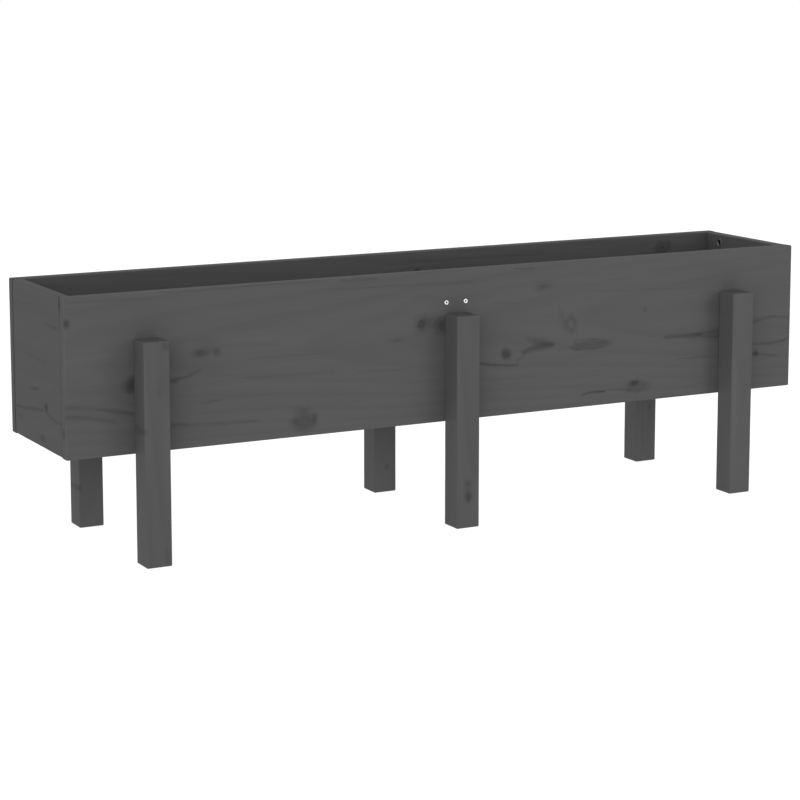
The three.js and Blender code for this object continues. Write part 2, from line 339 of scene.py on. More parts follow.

# %% [markdown]
# ## Grain coordinates
# Wood is a solid pattern: rings run the length of the log, and a board is a
# slice through them. So each timber carries its own coordinates, named "log":
# along the grain, across the face and through the thickness. The pattern reads
# those, and one finish then works on a leg as well as on a board.
#
# Three more marks say where a surface is an eased edge, where stain wears thin
# and a highlight is painted on, where it is end grain, which drinks more stain and
# so looks darker, and where it is a seam between two boards, where a dark shadow
# is painted in.

# %% Coordinates for the wood pattern
EDGE_RADIUS = 1.6 * MM
EDGE_MARK_GAIN = 1.6
END_MARK_START = 0.8
SEAM_REACH = 1.5 * EDGE_RADIUS
SEAM_SHARPNESS = 3
AXES = {"X": 0, "Y": 1, "Z": 2}


def points_of(mesh):
    """A mesh's points, as rows of x, y and z."""
    points = np.empty(len(mesh.vertices) * 3)
    mesh.vertices.foreach_get("co", points)
    return points.reshape(-1, 3)


def mark(mesh, name, values):
    """Stores a number or a vector for each point of a mesh."""
    kind, field = ("FLOAT", "value") if values.ndim == 1 else ("FLOAT_VECTOR", "vector")
    mesh.attributes.new(name, kind, "POINT").data.foreach_set(field, values.ravel())


def mark_grain(mesh, box, log_axes, log_start):
    """Writes the log coordinates and the edge and end-grain marks on a timber's points."""
    lo, hi = (np.array(corner) for corner in box)
    points = points_of(mesh)
    order = [AXES[axis] for axis in log_axes]
    core_half = (hi - lo) / 2 - EDGE_RADIUS
    depth = np.clip(np.abs(points - (lo + hi) / 2) - core_half, 0, None) / EDGE_RADIUS
    along = (depth[:, order[0]] - END_MARK_START) / (1 - END_MARK_START)
    mark(mesh, "log", points[:, order] + np.array(log_start))
    mark(mesh, "eased_edge", np.clip(np.sort(depth, axis=1)[:, 1] * EDGE_MARK_GAIN, 0, 1))
    mark(mesh, "end_grain", np.clip(along, 0, 1))


# The seam mark says where a dark painted shadow goes, in the gaps where the end boards meet the long boards.
def mark_seams(mesh, bottoms):
    """Marks the upright seams at the trough's ends, from {side: height in millimetres} up."""
    points = points_of(mesh)
    lo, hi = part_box("left_end_board")
    at_end = np.abs(points[:, 0]) > abs(lo.x) - SEAM_REACH
    seam = np.zeros(len(points))
    for side, bottom in bottoms.items():
        gap = np.abs(points[:, 1] - (lo.y if side == "front" else hi.y)) / EDGE_RADIUS
        near = np.clip(SEAM_SHARPNESS * (1 - gap), 0, 1)
        seam = np.maximum(seam, near * at_end * (points[:, 2] > bottom * MM))
    mark(mesh, "seam", seam)


print("edges are eased by", EDGE_RADIUS / MM, "mm")

# %% [markdown]
# ## The figure of pine
# Three things draw the figure on a stained pine board. Growth rings show as
# long pale and dark bands, because summer wood takes less stain. Fine fibres
# streak the bands. And knots, the stubs of branches, are dark and hard, and
# the rings flow round them.
#
# Each of these is a node group, so a board's finish is put together from them.
# The fibre of real pine is far below a millimetre wide and its rings are 2 to
# 4 mm apart. Neither would show, so fibre is drawn at 2.6 mm and rings at 8 mm.
#
# A log tapers, so its rings meet a sawn face at a slight slope. That slope is
# what draws the long pointed arches on the face of a flat-sawn board.

# %% Node group: growth rings and fibre
RING_SPACING = 8.0 * MM
LOG_SLOPE = 0.035
FIBRE_WIDTH = 2.6 * MM
FIBRE_LENGTH = 130 * MM
WANDER = 14 * MM
WANDER_PER_METRE = (1.3, 6.0, 6.0)
MOTTLE_PER_METRE = (4.0, 42.0, 42.0)

figure_tree, add, given = new_group(
    "pine_figure",
    {VECTOR: ("Log",), FLOAT: ("Bend", "Pith across", "Pith depth")}, {FLOAT: ("Rings", "Fibre", "Mottle")},
)
log = given["Log"]
parts = add(SPLIT, log).outputs
slow = add(VECTOR_MATH, "MULTIPLY", log, WANDER_PER_METRE)
drift = add(NOISE, {"Vector": slow, "Scale": 1.0, "Detail": 2.0})
drift_way = add(RANGE, drift, 0.2, 0.8, -WANDER, WANDER)
bent = add(MATH, "ADD", parts["Y"], given["Bend"])
wandering = add(MATH, "ADD", bent, drift_way)
from_pith = add(MATH, "SUBTRACT", wandering, given["Pith across"])
sloping = add(MATH, "MULTIPLY_ADD", parts["X"], LOG_SLOPE, parts["Z"])
below = add(MATH, "SUBTRACT", sloping, given["Pith depth"])
ring_place = add(COMBINE, from_pith, below)
ring_radius = add(VECTOR_MATH, "LENGTH", ring_place).outputs["Value"]
ring_count = add(MATH, "MULTIPLY", ring_radius, 1 / RING_SPACING)
season = add(MATH, "FRACT", ring_count)
late_wood = add(RANGE, season, 0.35, 0.85, 0.0, 1.0, **SMOOTH)
season_end = add(RANGE, season, 0.88, 1.0, 1.0, 0.0, **SMOOTH)
rings = add(MATH, "MULTIPLY", late_wood, season_end)
fibre_grid = (1 / FIBRE_LENGTH, 1 / FIBRE_WIDTH, 1 / FIBRE_WIDTH)
stretched = add(VECTOR_MATH, "MULTIPLY", log, fibre_grid)
fibre = add(NOISE, {"Vector": stretched, "Scale": 1.0, "Detail": 3.0})
cloud = add(VECTOR_MATH, "MULTIPLY", log, MOTTLE_PER_METRE)
mottle = add(NOISE, {"Vector": cloud, "Scale": 1.0, "Detail": 4.0})
add("NodeGroupOutput", {"Rings": rings, "Fibre": fibre, "Mottle": mottle})
print("rings drawn every", RING_SPACING / MM, "mm, fibre", FIBRE_WIDTH / MM, "mm wide")

# %% [markdown]
# A knot is an oval on the face. Its core takes the stain darkest, with faint
# rings of its own. "Bend" says how far the board's rings are pushed aside near
# it. A streak is a line or a wedge: resin, a healed crack, or one ring that
# runs out at the face. Both fade out softly.

# %% Node group: one knot
RIM_WOBBLE = 0.16
KNOT_RING_DEPTH = 0.22
BEND_STRENGTH = 0.85
BEND_FADE = 0.22

knot_tree, add, given = new_group(
    "knot",
    {
        VECTOR: ("Log", "Middle", "Half size"),
        FLOAT: ("Tilt", "Rings", "Softness", "Darkness", "Hollow"),
    },
    {FLOAT: ("Shade", "Bend")},
)
offset = add(VECTOR_MATH, "SUBTRACT", given["Log"], given["Middle"])
turned = add("ShaderNodeVectorRotate", {"Vector": offset, "Angle": given["Tilt"]}, rotation_type="Z_AXIS")
on_face = add(VECTOR_MATH, "MULTIPLY", turned, (1, 1, 0))
scaled = add(VECTOR_MATH, "DIVIDE", on_face, given["Half size"])
wobble_noise = add(NOISE, {"Vector": given["Log"], "Scale": 90.0, "Detail": 2.0})
wobble = add(RANGE, wobble_noise, *MOST_OF_NOISE, -RIM_WOBBLE, RIM_WOBBLE)
reach = add(VECTOR_MATH, "LENGTH", scaled).outputs["Value"]
rim_reach = add(MATH, "ADD", reach, wobble)
softest = add(MATH, "SUBTRACT", 1.0, given["Softness"])
core_shade = add(RANGE, rim_reach, softest, 1.08, 1.0, 0.0, **SMOOTH)
turns = add(MATH, "MULTIPLY", rim_reach, given["Rings"])
wave = add(MATH, "SINE", turns)
ringed = add(MATH, "MULTIPLY_ADD", wave, KNOT_RING_DEPTH, 1 - KNOT_RING_DEPTH)
pale_middle = add(RANGE, reach, 0.1, 0.6, given["Hollow"], 0.0, **SMOOTH)
filled = add(MATH, "SUBTRACT", 1.0, pale_middle)
hollowed = add(MATH, "MULTIPLY", ringed, filled)
shade = add(MATH, "MULTIPLY", core_shade, hollowed)
dark = add(MATH, "MULTIPLY", shade, given["Darkness"])
squared = add(MATH, "POWER", reach, 2.0)
falling = add(MATH, "MULTIPLY", squared, -BEND_FADE)
near = add(MATH, "EXPONENT", falling)
pull = add(MATH, "MULTIPLY", add(SPLIT, offset).outputs["Y"], near)
bend = add(MATH, "MULTIPLY", pull, -BEND_STRENGTH)
add("NodeGroupOutput", {"Shade": dark, "Bend": bend})
print("knot group has", len(knot_tree.nodes), "nodes")

# %% Node group: one streak
RIPPLE = 1.1 * MM

streak_tree, add, given = new_group(
    "streak",
    {
        VECTOR: ("Log", "Start", "End"),
        FLOAT: ("Bow", "Start width", "End width", "Belly", "Darkness"),
    },
    {FLOAT: ("Shade",)},
)
here, begin, finish = (add(SPLIT, given[name]).outputs for name in ("Log", "Start", "End"))
run = add(RANGE, here["X"], begin["X"], finish["X"], 0.0, 1.0)
left_over = add(MATH, "SUBTRACT", 1.0, run)
product = add(MATH, "MULTIPLY", run, left_over)
arch = add(MATH, "MULTIPLY", product, 4.0)
straight = add(RANGE, run, 0.0, 1.0, begin["Y"], finish["Y"])
line = add(MATH, "MULTIPLY_ADD", arch, given["Bow"], straight)
taper = add(RANGE, run, 0.0, 1.0, given["Start width"], given["End width"])
width = add(MATH, "MULTIPLY_ADD", arch, given["Belly"], taper)
ripple_place = add(VECTOR_MATH, "MULTIPLY", given["Log"], (1, 3, 3))
ripple_noise = add(NOISE, {"Vector": ripple_place, "Scale": 45.0, "Detail": 1.0})
ripple = add(RANGE, ripple_noise, *MOST_OF_NOISE, -RIPPLE, RIPPLE)
gap = add(MATH, "SUBTRACT", here["Y"], line)
rippled = add(MATH, "ADD", gap, ripple)
away = add(MATH, "ABSOLUTE", rippled)
relative = add(MATH, "DIVIDE", away, width)
side_fade = add(RANGE, relative, 0.0, 1.1, 1.0, 0.0, **SMOOTH)
end_fade = add(RANGE, arch, 0.0, 0.35, 0.0, 1.0, **SMOOTH)
faded = add(MATH, "MULTIPLY", side_fade, end_fade)
dark = add(MATH, "MULTIPLY", faded, given["Darkness"])
add("NodeGroupOutput", {"Shade": dark})
print("streak group has", len(streak_tree.nodes), "nodes")

# %% [markdown]
# Pieces that nobody studies closely still need knots. A Voronoi pattern drops
# them at random: its cells are stretched along the grain, a knot sits at the
# middle of some cells, and it runs right through the piece as a branch would.

# %% Node group: scattered small knots
KNOT_CELL = Vector((170 * MM, 62 * MM, 400 * MM))
KNOT_REACH = 0.085
EMPTY_CELLS = 0.52

scatter_tree, add, given = new_group("scattered_knots", {VECTOR: ("Log",)}, {FLOAT: ("Shade", "Bend")})
cells = add(VECTOR_MATH, "MULTIPLY", given["Log"], [1 / v for v in KNOT_CELL])
voronoi = add("ShaderNodeTexVoronoi", {"Vector": cells, "Scale": 1.0, "Randomness": 0.9}).outputs
spot = add(RANGE, voronoi["Distance"], KNOT_REACH * 0.45, KNOT_REACH, 1.0, 0.0, **SMOOTH)
luck = add(SPLIT, voronoi["Color"]).outputs
chosen = add(MATH, "GREATER_THAN", luck["X"], EMPTY_CELLS)
strength = add(MATH, "MULTIPLY", chosen, luck["Y"])
spotted = add(MATH, "MULTIPLY", spot, strength)
cell_gap = add(VECTOR_MATH, "SUBTRACT", cells, voronoi["Position"])
nearness = add(RANGE, voronoi["Distance"], 0.0, KNOT_REACH * 3.5, -0.8 * KNOT_CELL.y, 0.0, **SMOOTH)
side_pull = add(MATH, "MULTIPLY", add(SPLIT, cell_gap).outputs["Y"], nearness)
scatter_bend = add(MATH, "MULTIPLY", side_pull, chosen)
add("NodeGroupOutput", {"Shade": spotted, "Bend": scatter_bend})
print("one cell is", [round(v / MM) for v in KNOT_CELL], "mm")

# %% [markdown]
# ## Grey-stained pine
# The finish is a thin water-based stain on planed softwood. It is matt, nearly
# neutral grey, and lets the figure through only faintly: pale early wood and
# dark late wood differ by a few per cent. Wood has an IOR of about 1.5, but
# the stain soaks in and leaves no film, and open pores swallow most of the
# gloss, so the specular level is low. The surface is rough, smoother on the
# hard late wood and rougher on end grain. Along the eased edges the colour is
# lighter: partly thinner stain, partly a painted highlight where edges catch light.

# %% The finish
STAIN = linear("#4a4a4a")
RING_CONTRAST = 0.05
FIBRE_CONTRAST = 0.05
MOTTLE_CONTRAST = 0.09
# Eased edges are lightened: partly thinner stain, partly a painted highlight.
EDGE_THIN_STAIN_AND_HIGHLIGHT = 0.05
END_GRAIN_DARKENING = 0.04
# A nearly black painted shadow in the seams between boards.
PAINTED_SEAM_SHADOW = 0.85
RELIEF = 0.12 * MM
WOOD_IOR = 1.5
WOOD_ROUGHNESS = 0.7
LATE_WOOD_POLISH = 0.06
END_ROUGHENING = 0.15
GLOSS_LEVEL = 0.05
BENDING_DARKNESS = 0.38


def add_knot(
    add, log, along, across, half_length, half_width, darkness, softness=0.9, tilt=0, rings=0, hollow=0,
):
    """Adds one knot to a finish, with its sizes in millimetres and its tilt in degrees."""
    return add(GROUP, {
        "Log": log, "Middle": (along * MM, across * MM, 0),
        "Half size": (half_length * MM, half_width * MM, 1), "Tilt": math.radians(-tilt),
        "Rings": rings * math.tau, "Softness": softness, "Darkness": darkness, "Hollow": hollow,
    }, node_tree=knot_tree)


def add_streak(add, log, x, y, far_x, far_y, darkness, width, far_width, belly=0, bow=0):
    """Adds one streak to a finish, with its ends, half widths, belly and bow in millimetres."""
    return add(GROUP, {
        "Log": log, "Start": (x * MM, y * MM, 0), "End": (far_x * MM, far_y * MM, 0), "Bow": bow * MM,
        "Start width": width * MM, "End width": far_width * MM, "Belly": belly * MM, "Darkness": darkness,
    }, node_tree=streak_tree)


def stained_pine(
    name, pith, knots=(), streaks=(), scattered=False, tone=1.0, bands=MOTTLE_CONTRAST, end_knot=None,
):
    """A grey-stained pine. Knots and streaks are given in millimetres, along and across the grain."""
    material, add, surface = new_finish(name)
    log = add(ATTRIBUTE, attribute_name="log").outputs["Vector"]
    shades = [add_knot(add, log, *numbers) for numbers in knots]
    bends = [
        knot.outputs["Bend"] for knot in shades
        if knot.inputs["Darkness"].default_value >= BENDING_DARKNESS
    ]
    shades += [add_streak(add, log, *numbers) for numbers in streaks]
    if scattered:
        shades.append(add(GROUP, {"Log": log}, node_tree=scatter_tree))
        bends.append(shades[-1].outputs["Bend"])
    edge, end, seam = (
        add(ATTRIBUTE, attribute_name=name).outputs["Fac"] for name in ("eased_edge", "end_grain", "seam")
    )
    light = end_light = 1.0
    for shade in shades:
        kept = add(MATH, "SUBTRACT", 1.0, shade)
        light = add(MATH, "MULTIPLY", light, kept)
    if end_knot:
        parts = add(SPLIT, log).outputs
        knot = add_knot(add, add(COMBINE, parts["Z"], parts["Y"]), *end_knot)
        end_light = add(MATH, "SUBTRACT", 1.0, knot)
    light = add(RANGE, end, 0.0, 1.0, light, end_light)
    bend = 0.0
    for one_bend in bends:
        bend = add(MATH, "ADD", bend, one_bend)

    figure_inputs = {"Log": log, "Bend": bend, "Pith across": pith[0] * MM, "Pith depth": pith[1] * MM}
    figure = add(GROUP, figure_inputs, node_tree=figure_tree).outputs
    for factor in (
        add(RANGE, figure["Rings"], 0.0, 1.0, tone, tone * (1 - RING_CONTRAST)),
        add(RANGE, figure["Fibre"], *MOST_OF_NOISE, 1 - FIBRE_CONTRAST / 2, 1 + FIBRE_CONTRAST / 2),
        add(RANGE, figure["Mottle"], *MOST_OF_NOISE, 1 - bands / 2, 1 + bands / 2),
        # A painted highlight, together with thinner stain, on the eased edges.
        add(MATH, "MULTIPLY_ADD", edge, EDGE_THIN_STAIN_AND_HIGHLIGHT, 1.0),
        add(MATH, "MULTIPLY_ADD", end, -END_GRAIN_DARKENING, 1.0),
        # Painted shadow in the seams.
        add(MATH, "MULTIPLY_ADD", seam, -PAINTED_SEAM_SHADOW, 1.0),
    ):
        light = add(MATH, "MULTIPLY", light, factor)
    smooth_late = add(MATH, "MULTIPLY_ADD", figure["Rings"], -LATE_WOOD_POLISH, WOOD_ROUGHNESS)
    relief = add("ShaderNodeBump", {"Height": figure["Fibre"], "Strength": 0.6, "Distance": RELIEF})
    fill(surface, {
        "Base Color": add(VECTOR_MATH, "SCALE", {0: STAIN, "Scale": light}),
        "Roughness": add(MATH, "MULTIPLY_ADD", end, END_ROUGHENING, smooth_late),
        "IOR": WOOD_IOR, "Specular IOR Level": GLOSS_LEVEL, "Normal": relief,
    })
    return material


print("stain", [round(c, 4) for c in STAIN])

# %% [markdown]
# ## Drilling
# The long boards are bored for screws, with a cone for each countersunk head,
# and the end boards for the cam discs. A turned cutter is made for each hole
# and taken away with a Boolean modifier, so a head really sits in its hole.

# %% Turned shapes and drilling
HOLE_SIDES = 40
HOLE_ROOM = 0.25

# A turned shape's +Z end is turned to face one of these ways.
TURNS = {"front": (90, 0, 0), "back": (-90, 0, 0), "left": (0, -90, 0), "right": (0, 90, 0), "up": (0, 0, 0)}
FACING = {way: Euler([math.radians(turn) for turn in turns]) for way, turns in TURNS.items()}
OPPOSITE = {"front": "back", "back": "front", "left": "right", "right": "left"}


def mesh_from(shape, name):
    """A new mesh from a finished bmesh, which is freed."""
    mesh = bpy.data.meshes.new(name)
    shape.to_mesh(mesh)
    shape.free()
    return mesh


def turned_mesh(name, profile, sides, facing="up", place=(0, 0, 0)):
    """A closed turned shape, from (radius, height) points in millimetres, listed from the bottom up."""
    shape = bmesh.new()
    previous = []
    for radius, height in profile:
        angles = [math.tau * k / sides for k in range(sides if radius else 1)]
        ring = [shape.verts.new((radius * math.cos(a), radius * math.sin(a), height)) for a in angles]
        for k in range(sides if previous else 0):
            low = [previous[k % len(previous)], previous[(k + 1) % len(previous)]]
            high = [ring[(k + 1) % len(ring)], ring[k % len(ring)]]
            shape.faces.new(list(dict.fromkeys(low + high)))
        previous = ring
    for vertex in shape.verts:
        vertex.co *= MM
    bmesh.ops.recalc_face_normals(shape, faces=shape.faces)
    shape.transform(FACING[facing].to_matrix().to_4x4())
    bmesh.ops.translate(shape, verts=shape.verts, vec=Vector(place))
    return mesh_from(shape, name)


def cut_away(piece, cutters):
    """Takes the cutter meshes out of a piece, for good. The cut faces take the piece's finish."""
    joined = bmesh.new()
    for mesh in cutters:
        joined.from_mesh(mesh)
        bpy.data.meshes.remove(mesh)
    cutter = new_object("cutter", mesh_from(joined, "cutter"))
    boolean = piece.modifiers.new("drill", "BOOLEAN")
    boolean.operation = "DIFFERENCE"
    boolean.solver = "EXACT"
    boolean.object = cutter
    keep_mesh(piece)
    faces = piece.data.polygons
    faces.foreach_set("material_index", [max(len(piece.data.materials) - 1, 0)] * len(faces))
    bpy.data.objects.remove(cutter)


def middle_of(node):
    """The middle of a node's box."""
    lo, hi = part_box(node)
    return (lo + hi) / 2


def head_place(node, facing):
    """The middle of the face of a node's box that looks one way."""
    lo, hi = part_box(node)
    place = middle_of(node)
    axis, end = {"left": (0, lo), "right": (0, hi), "front": (1, lo), "back": (1, hi)}[facing]
    place[axis] = end[axis]
    return place


print("holes have", HOLE_SIDES, "sides and", HOLE_ROOM, "mm of room")

# %% [markdown]
# ## Making one timber
# Everything about a timber but its finish comes from its node's box. The rows
# of points are closer along the grain than across it, so that wear can come
# and go along the edges.

# %% One timber from its node
STATION = 12 * MM
EDGE_WEAR = 0.85
SEED_STEP = 3.7
wood_count = 0


def timber(node, log_axes, finish, log_start=(0, 0, 0), cutters=(), wear=EDGE_WEAR, stations=None):
    """A timber that stands for a CAD node. log_axes names the axes along, across and through."""
    global wood_count
    wood_count += 1
    lo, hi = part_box(node)
    values = {
        "Size": hi - lo, "Middle": (lo + hi) / 2, "Edge radius": EDGE_RADIUS, "Edge wear": wear,
        "Seed": wood_count * SEED_STEP, "Finish": finish,
    }
    for axis, index in AXES.items():
        spans = int((hi[index] - lo[index]) / STATION) if axis in (stations or log_axes[0]) else 2
        values[f"Rows {axis}"] = 2 * EDGE_ROWS + spans + 1
    piece = grow(node + "_timber", timber_tree, bpy.data.meshes.new("seed"), values)
    if cutters:
        cut_away(piece, cutters)
    mark_grain(piece.data, (lo, hi), log_axes, log_start)
    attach(piece, "root")
    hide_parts(node)
    return piece


print("a station every", STATION / MM, "mm along the grain")

# %% [markdown]
# ## The screws' own sizes
# Each screw is countersunk and driven with a hexagonal key. Its head is flush
# with the wood, or a hair below it. The cutters for the holes come from the
# same sizes, with a little room added, so the sizes are settled first.

# %% Fastener sizes in millimetres
Screw = namedtuple("Screw", "length shank head head_depth key key_depth")
TIE_SCREW = Screw(length=50, shank=1.75, head=3.3, head_depth=2.1, key=1.5, key_depth=2.0)
LEG_SCREW = Screw(length=45, shank=2.25, head=4.6, head_depth=2.8, key=1.95, key_depth=2.2)
SLAT_SCREW = Screw(length=30, shank=1.75, head=3.6, head_depth=2.2, key=1.5, key_depth=1.6)
CAM_RADIUS = 7.5
CAM_THICKNESS = 12.4
CUT_PAST = 3


def screw_cutter(screw, node, facing):
    """The hole for one screw: a straight bore, a cone for the head, and a run-out past the face."""
    bore = screw.shank + HOLE_ROOM
    mouth = screw.head + HOLE_ROOM
    depth = -screw.length - HOLE_ROOM
    profile = [
        (0, depth), (bore, depth), (bore, -screw.head_depth),
        (mouth, -HOLE_ROOM), (mouth, CUT_PAST), (0, CUT_PAST),
    ]
    return turned_mesh("screw_hole", profile, HOLE_SIDES, facing, head_place(node, facing))


def cam_cutter(node, facing):
    """The flat-bottomed bore for one cam disc."""
    wide = CAM_RADIUS + HOLE_ROOM
    deep = -CAM_THICKNESS - HOLE_ROOM
    profile = [(0, deep), (wide, deep), (wide, CUT_PAST), (0, CUT_PAST)]
    return turned_mesh("cam_bore", profile, HOLE_SIDES, facing, head_place(node, facing))


print("tie screw head", 2 * TIE_SCREW.head, "mm across")

# %% Which way each fastener's head faces
SIDES = ("front", "back")
ENDS = ("left", "right")
LEVELS = ("lower", "upper")
TIE_SCREWS = {f"{side}_{end}_tie_screw": side for side in SIDES for end in ENDS}
LEG_SCREWS = {
    f"{side}_{spot}_leg_screw_{level}": OPPOSITE[side]
    for side in SIDES for spot in ("left", "middle", "right") for level in LEVELS
}
CORNERS = [(end, side, level) for end in ENDS for side in SIDES for level in LEVELS]
CAMS = {f"{end}_{side}_cam_{level}": OPPOSITE[end] for end, side, level in CORNERS}
BOLTS = {f"{end}_{side}_cam_bolt_{level}": side for end, side, level in CORNERS}


def on(board, fasteners):
    """Those fasteners whose names start with a board's name."""
    return {node: facing for node, facing in fasteners.items() if node.startswith(board)}


print(len(TIE_SCREWS) + len(LEG_SCREWS), "large screws,", len(CAMS), "cams and", len(BOLTS), "bolts")

# %% [markdown]
# ## The long boards
# The front board is the face that everyone sees, so its figure is listed knot
# by knot: where each knot sits, which way a healed crack runs, where a wedge of
# dark resin opens beside a leg. Places are millimetres along the board from
# its middle and millimetres above the ground.
#
# A knot is (along, height, half length, half height, darkness), and then, where
# they are not the usual ones, softness, tilt in degrees, rings and hollow. A
# streak is (along, height) twice, darkness, start and end half widths, and then
# its belly and bow if it has any.

# %% The front board's figure
FRONT_KNOTS = [
    (-602, 342.5, 7, 9, 0.5, 0.7), (-545, 283, 30, 13, 0.08, 0.95),
    (-507, 250.5, 19, 17, 0.56, 0.9, 0, 0.4), (-446, 251, 10, 5, 0.28, 0.9, 4),
    (-406, 288, 18, 10, 0.46, 0.95, 4), (-382, 287, 11, 9, 0.36, 0.95, -8),
    (-394, 301, 28, 12, 0.1, 0.95, -10), (-247, 176, 25, 21, 0.36, 0.6, 8, 1.1, 0.25),
    (-262, 177, 8, 10, 0.2), (-231, 176, 6, 12, 0.3, 0.9, -12), (-251, 194, 25, 8, 0.1),
    (-202, 243.5, 7, 6, 0.14), (-58, 302, 15, 20, 0.4, 0.8, 0, 1.2), (-42, 303, 32, 15, 0.2, 0.8),
    (-98, 281.5, 19, 5.5, 0.26, 0.95), (-23, 297, 18, 17, 0.36, 0.7, 0, 1.6),
    (85, 247, 13, 12, 0.52, 0.9, 0, 0.6), (150, 344, 24, 10, 0.26, 0.9, 0, 1.4),
    (148, 259, 24, 11, 0.24, 0.95, -14), (197, 283, 15, 19, 0.32, 0.8, 15, 0.5, 0.8),
    (182, 294, 8, 25, 0.16, 0.95, 6), (233, 249.5, 40, 9.5, 0.26, 0.45), (329.5, 295, 6, 6, 0.24),
    (313, 183.5, 9, 6, 0.5, 0.85), (313, 184, 21, 6.5, 0.24, 0.85),
    (318, 177, 37, 14, 0.24, 0.75, 0, 0.9), (538, 211, 9, 7.5, 0.54),
]
FRONT_STREAKS = [
    (-625, 229, -495, 207, 0.15, 4.6, 4.6, 1, 4), (-625, 214.5, -525, 199, 0.16, 4.4, 4, 0.6, 4),
    (-565, 222, -495, 209, 0.12, 2.6, 5), (-615, 372, -470, 369, 0.1, 2.6, 2.6, 0.5),
    (-480, 376, -200, 376, 0.12, 2, 2), (-470, 249.5, -403, 264, 0.24, 3.8, 2.2, 0.8, -2.5),
    (-470, 190, -310, 183, 0.13, 3.8, 2.2), (-470, 196, -425, 187, 0.1, 6, 2, 2),
    (-408, 216, -370, 220, 0.13, 2, 2.5, 0.5), (-400, 297, -280, 292, 0.06, 4, 6, 1),
    (-340, 274, -190, 270, 0.08, 2, 2, 1), (-350, 247, -200, 244, 0.07, 2, 2, 1),
    (-195, 374, -125, 374, 0.14, 2.6, 2.6, 2.2), (-215, 363, -110, 361, 0.1, 1.6, 1.6, 0.6),
    (-170, 240.5, -75, 237, 0.11, 2, 2.4, 0.5), (-150, 362, 40, 359, 0.09, 2, 2, 1),
    (25, 238.5, 110, 228, 0.34, 3.2, 2.4, 0.6, -2), (60, 324, 110, 322, 0.1, 2, 2),
    (95, 374, 135, 372, 0.18, 1.6, 1.6, 0.8), (102, 233, 122, 250, 0.18, 3.4, 3.4, 0.6, -2),
    (108, 246, 172, 255, 0.28, 2.4, 2, 6, 1.5), (116, 268, 168, 255, 0.13, 4, 3, 5.4, -2),
    (192, 250, 216, 243, 0.18, 2.2, 2.2, 2, -2), (198, 256, 252, 256, 0.15, 1.4, 1.4, 0.8, 2),
    (204, 244.5, 266, 244, 0.13, 2.2, 2.2, 1, -1.5), (242, 250.5, 276, 249, 0.13, 2, 2, 4),
    (214, 173, 262, 175, 0.32, 1.4, 1.8, 2, 1.5), (240, 175.5, 312, 171, 0.24, 1.8, 2.6, 0, 2.5),
    (220, 331, 440, 322, 0.07, 1.8, 1.8), (362, 250, 440, 249.5, 0.23, 3.8, 4.6, 1),
    (390, 214.5, 455, 212.5, 0.14, 1.8, 1.8, 0.6), (395, 250, 530, 247.5, 0.1, 2, 26),
    (415, 250, 500, 256, 0.15, 2, 7), (415, 249, 500, 240, 0.15, 2, 7),
    (522, 258, 612, 262, 0.2, 3.6, 3.6, 0.4, 6), (528, 266, 585, 266, 0.12, 2, 2, 0.5, 2),
    (522, 230, 616, 236, 0.24, 3.8, 3.8, 0.4, -8), (536, 210, 585, 205, 0.24, 4, 1.6),
]
print(len(FRONT_KNOTS), "knots and", len(FRONT_STREAKS), "streaks on the front")

# %% [markdown]
# The back board and the right end board get their figure from a small rule
# instead: knots at random places, each with a line of grain that parts before it
# and closes behind it, and a few long faint lines. The seed is fixed, so the
# boards are the same each time.

# %% A random figure for a board
def random_figure(seed, along, across, knot_count, line_count):
    """Knots and streaks for a board whose face spans the given ranges, in millimetres."""
    luck = random.Random(seed)
    knots = []
    streaks = []
    for _ in range(knot_count):
        x = luck.uniform(*along)
        z = luck.uniform(*across)
        half_length = luck.uniform(8, 21)
        half_height = half_length * luck.uniform(0.55, 0.95)
        darkness = luck.uniform(0.32, 0.62)
        tilt = luck.uniform(-12, 12)
        knots.append((x, z, half_length, half_height, darkness, 0.75, tilt, luck.choice((0, 1.2, 2.0))))
        reach = luck.uniform(45, 95)
        for side in (-1, 1):
            edge = z + side * half_height * 0.8
            far = z + side * half_height * luck.uniform(0.1, 0.5)
            shade = luck.uniform(0.10, 0.26)
            streaks.append((x - reach, far, x - 4, edge, shade, 1.6, 2.4, 0.4))
            if luck.random() < 0.6:
                streaks.append((x + 4, edge, x + reach, far, shade, 2.4, 1.4, 0.4))
    for _ in range(line_count):
        x = luck.uniform(*along)
        z = luck.uniform(*across)
        run = luck.uniform(50, 170)
        drop, bow = luck.uniform(-5, 5), luck.uniform(-5, 5)
        belly = luck.uniform(0, 1.5)
        streaks.append((x - run, z, x + run, z + drop, luck.uniform(0.08, 0.2), 1.8, 2.2, belly, bow))
    return knots, streaks


BACK_FIGURE = random_figure(41, (-560, 560), (175, 360), 8, 9)
RIGHT_FIGURE = random_figure(8, (-85, 85), (175, 360), 3, 4)
print("back board:", len(BACK_FIGURE[0]), "knots and", len(BACK_FIGURE[1]), "streaks")

# %% Both long boards
# A knot on the front board's left end, given through the board and above the ground.
END_GRAIN_KNOT = (-105, 191, 8, 10, 0.42)
front_pine = stained_pine(
    "pine_front_board", (285, 70), FRONT_KNOTS, FRONT_STREAKS, end_knot=END_GRAIN_KNOT,
)
back_pine = stained_pine("pine_back_board", (300, -75), *BACK_FIGURE)

for side, finish in zip(SIDES, (front_pine, back_pine)):
    cutters = [screw_cutter(TIE_SCREW, *screw) for screw in on(side, TIE_SCREWS).items()]
    cutters += [screw_cutter(LEG_SCREW, *screw) for screw in on(side, LEG_SCREWS).items()]
    board = timber(f"{side}_board", "XZY", finish, cutters=cutters)
    # The back board gets the painted seam shadow where the end boards meet it.
    if side == "back":
        mark_seams(board.data, {side: 0})
    print(board.name, len(board.data.polygons), "faces,", len(cutters), "holes")
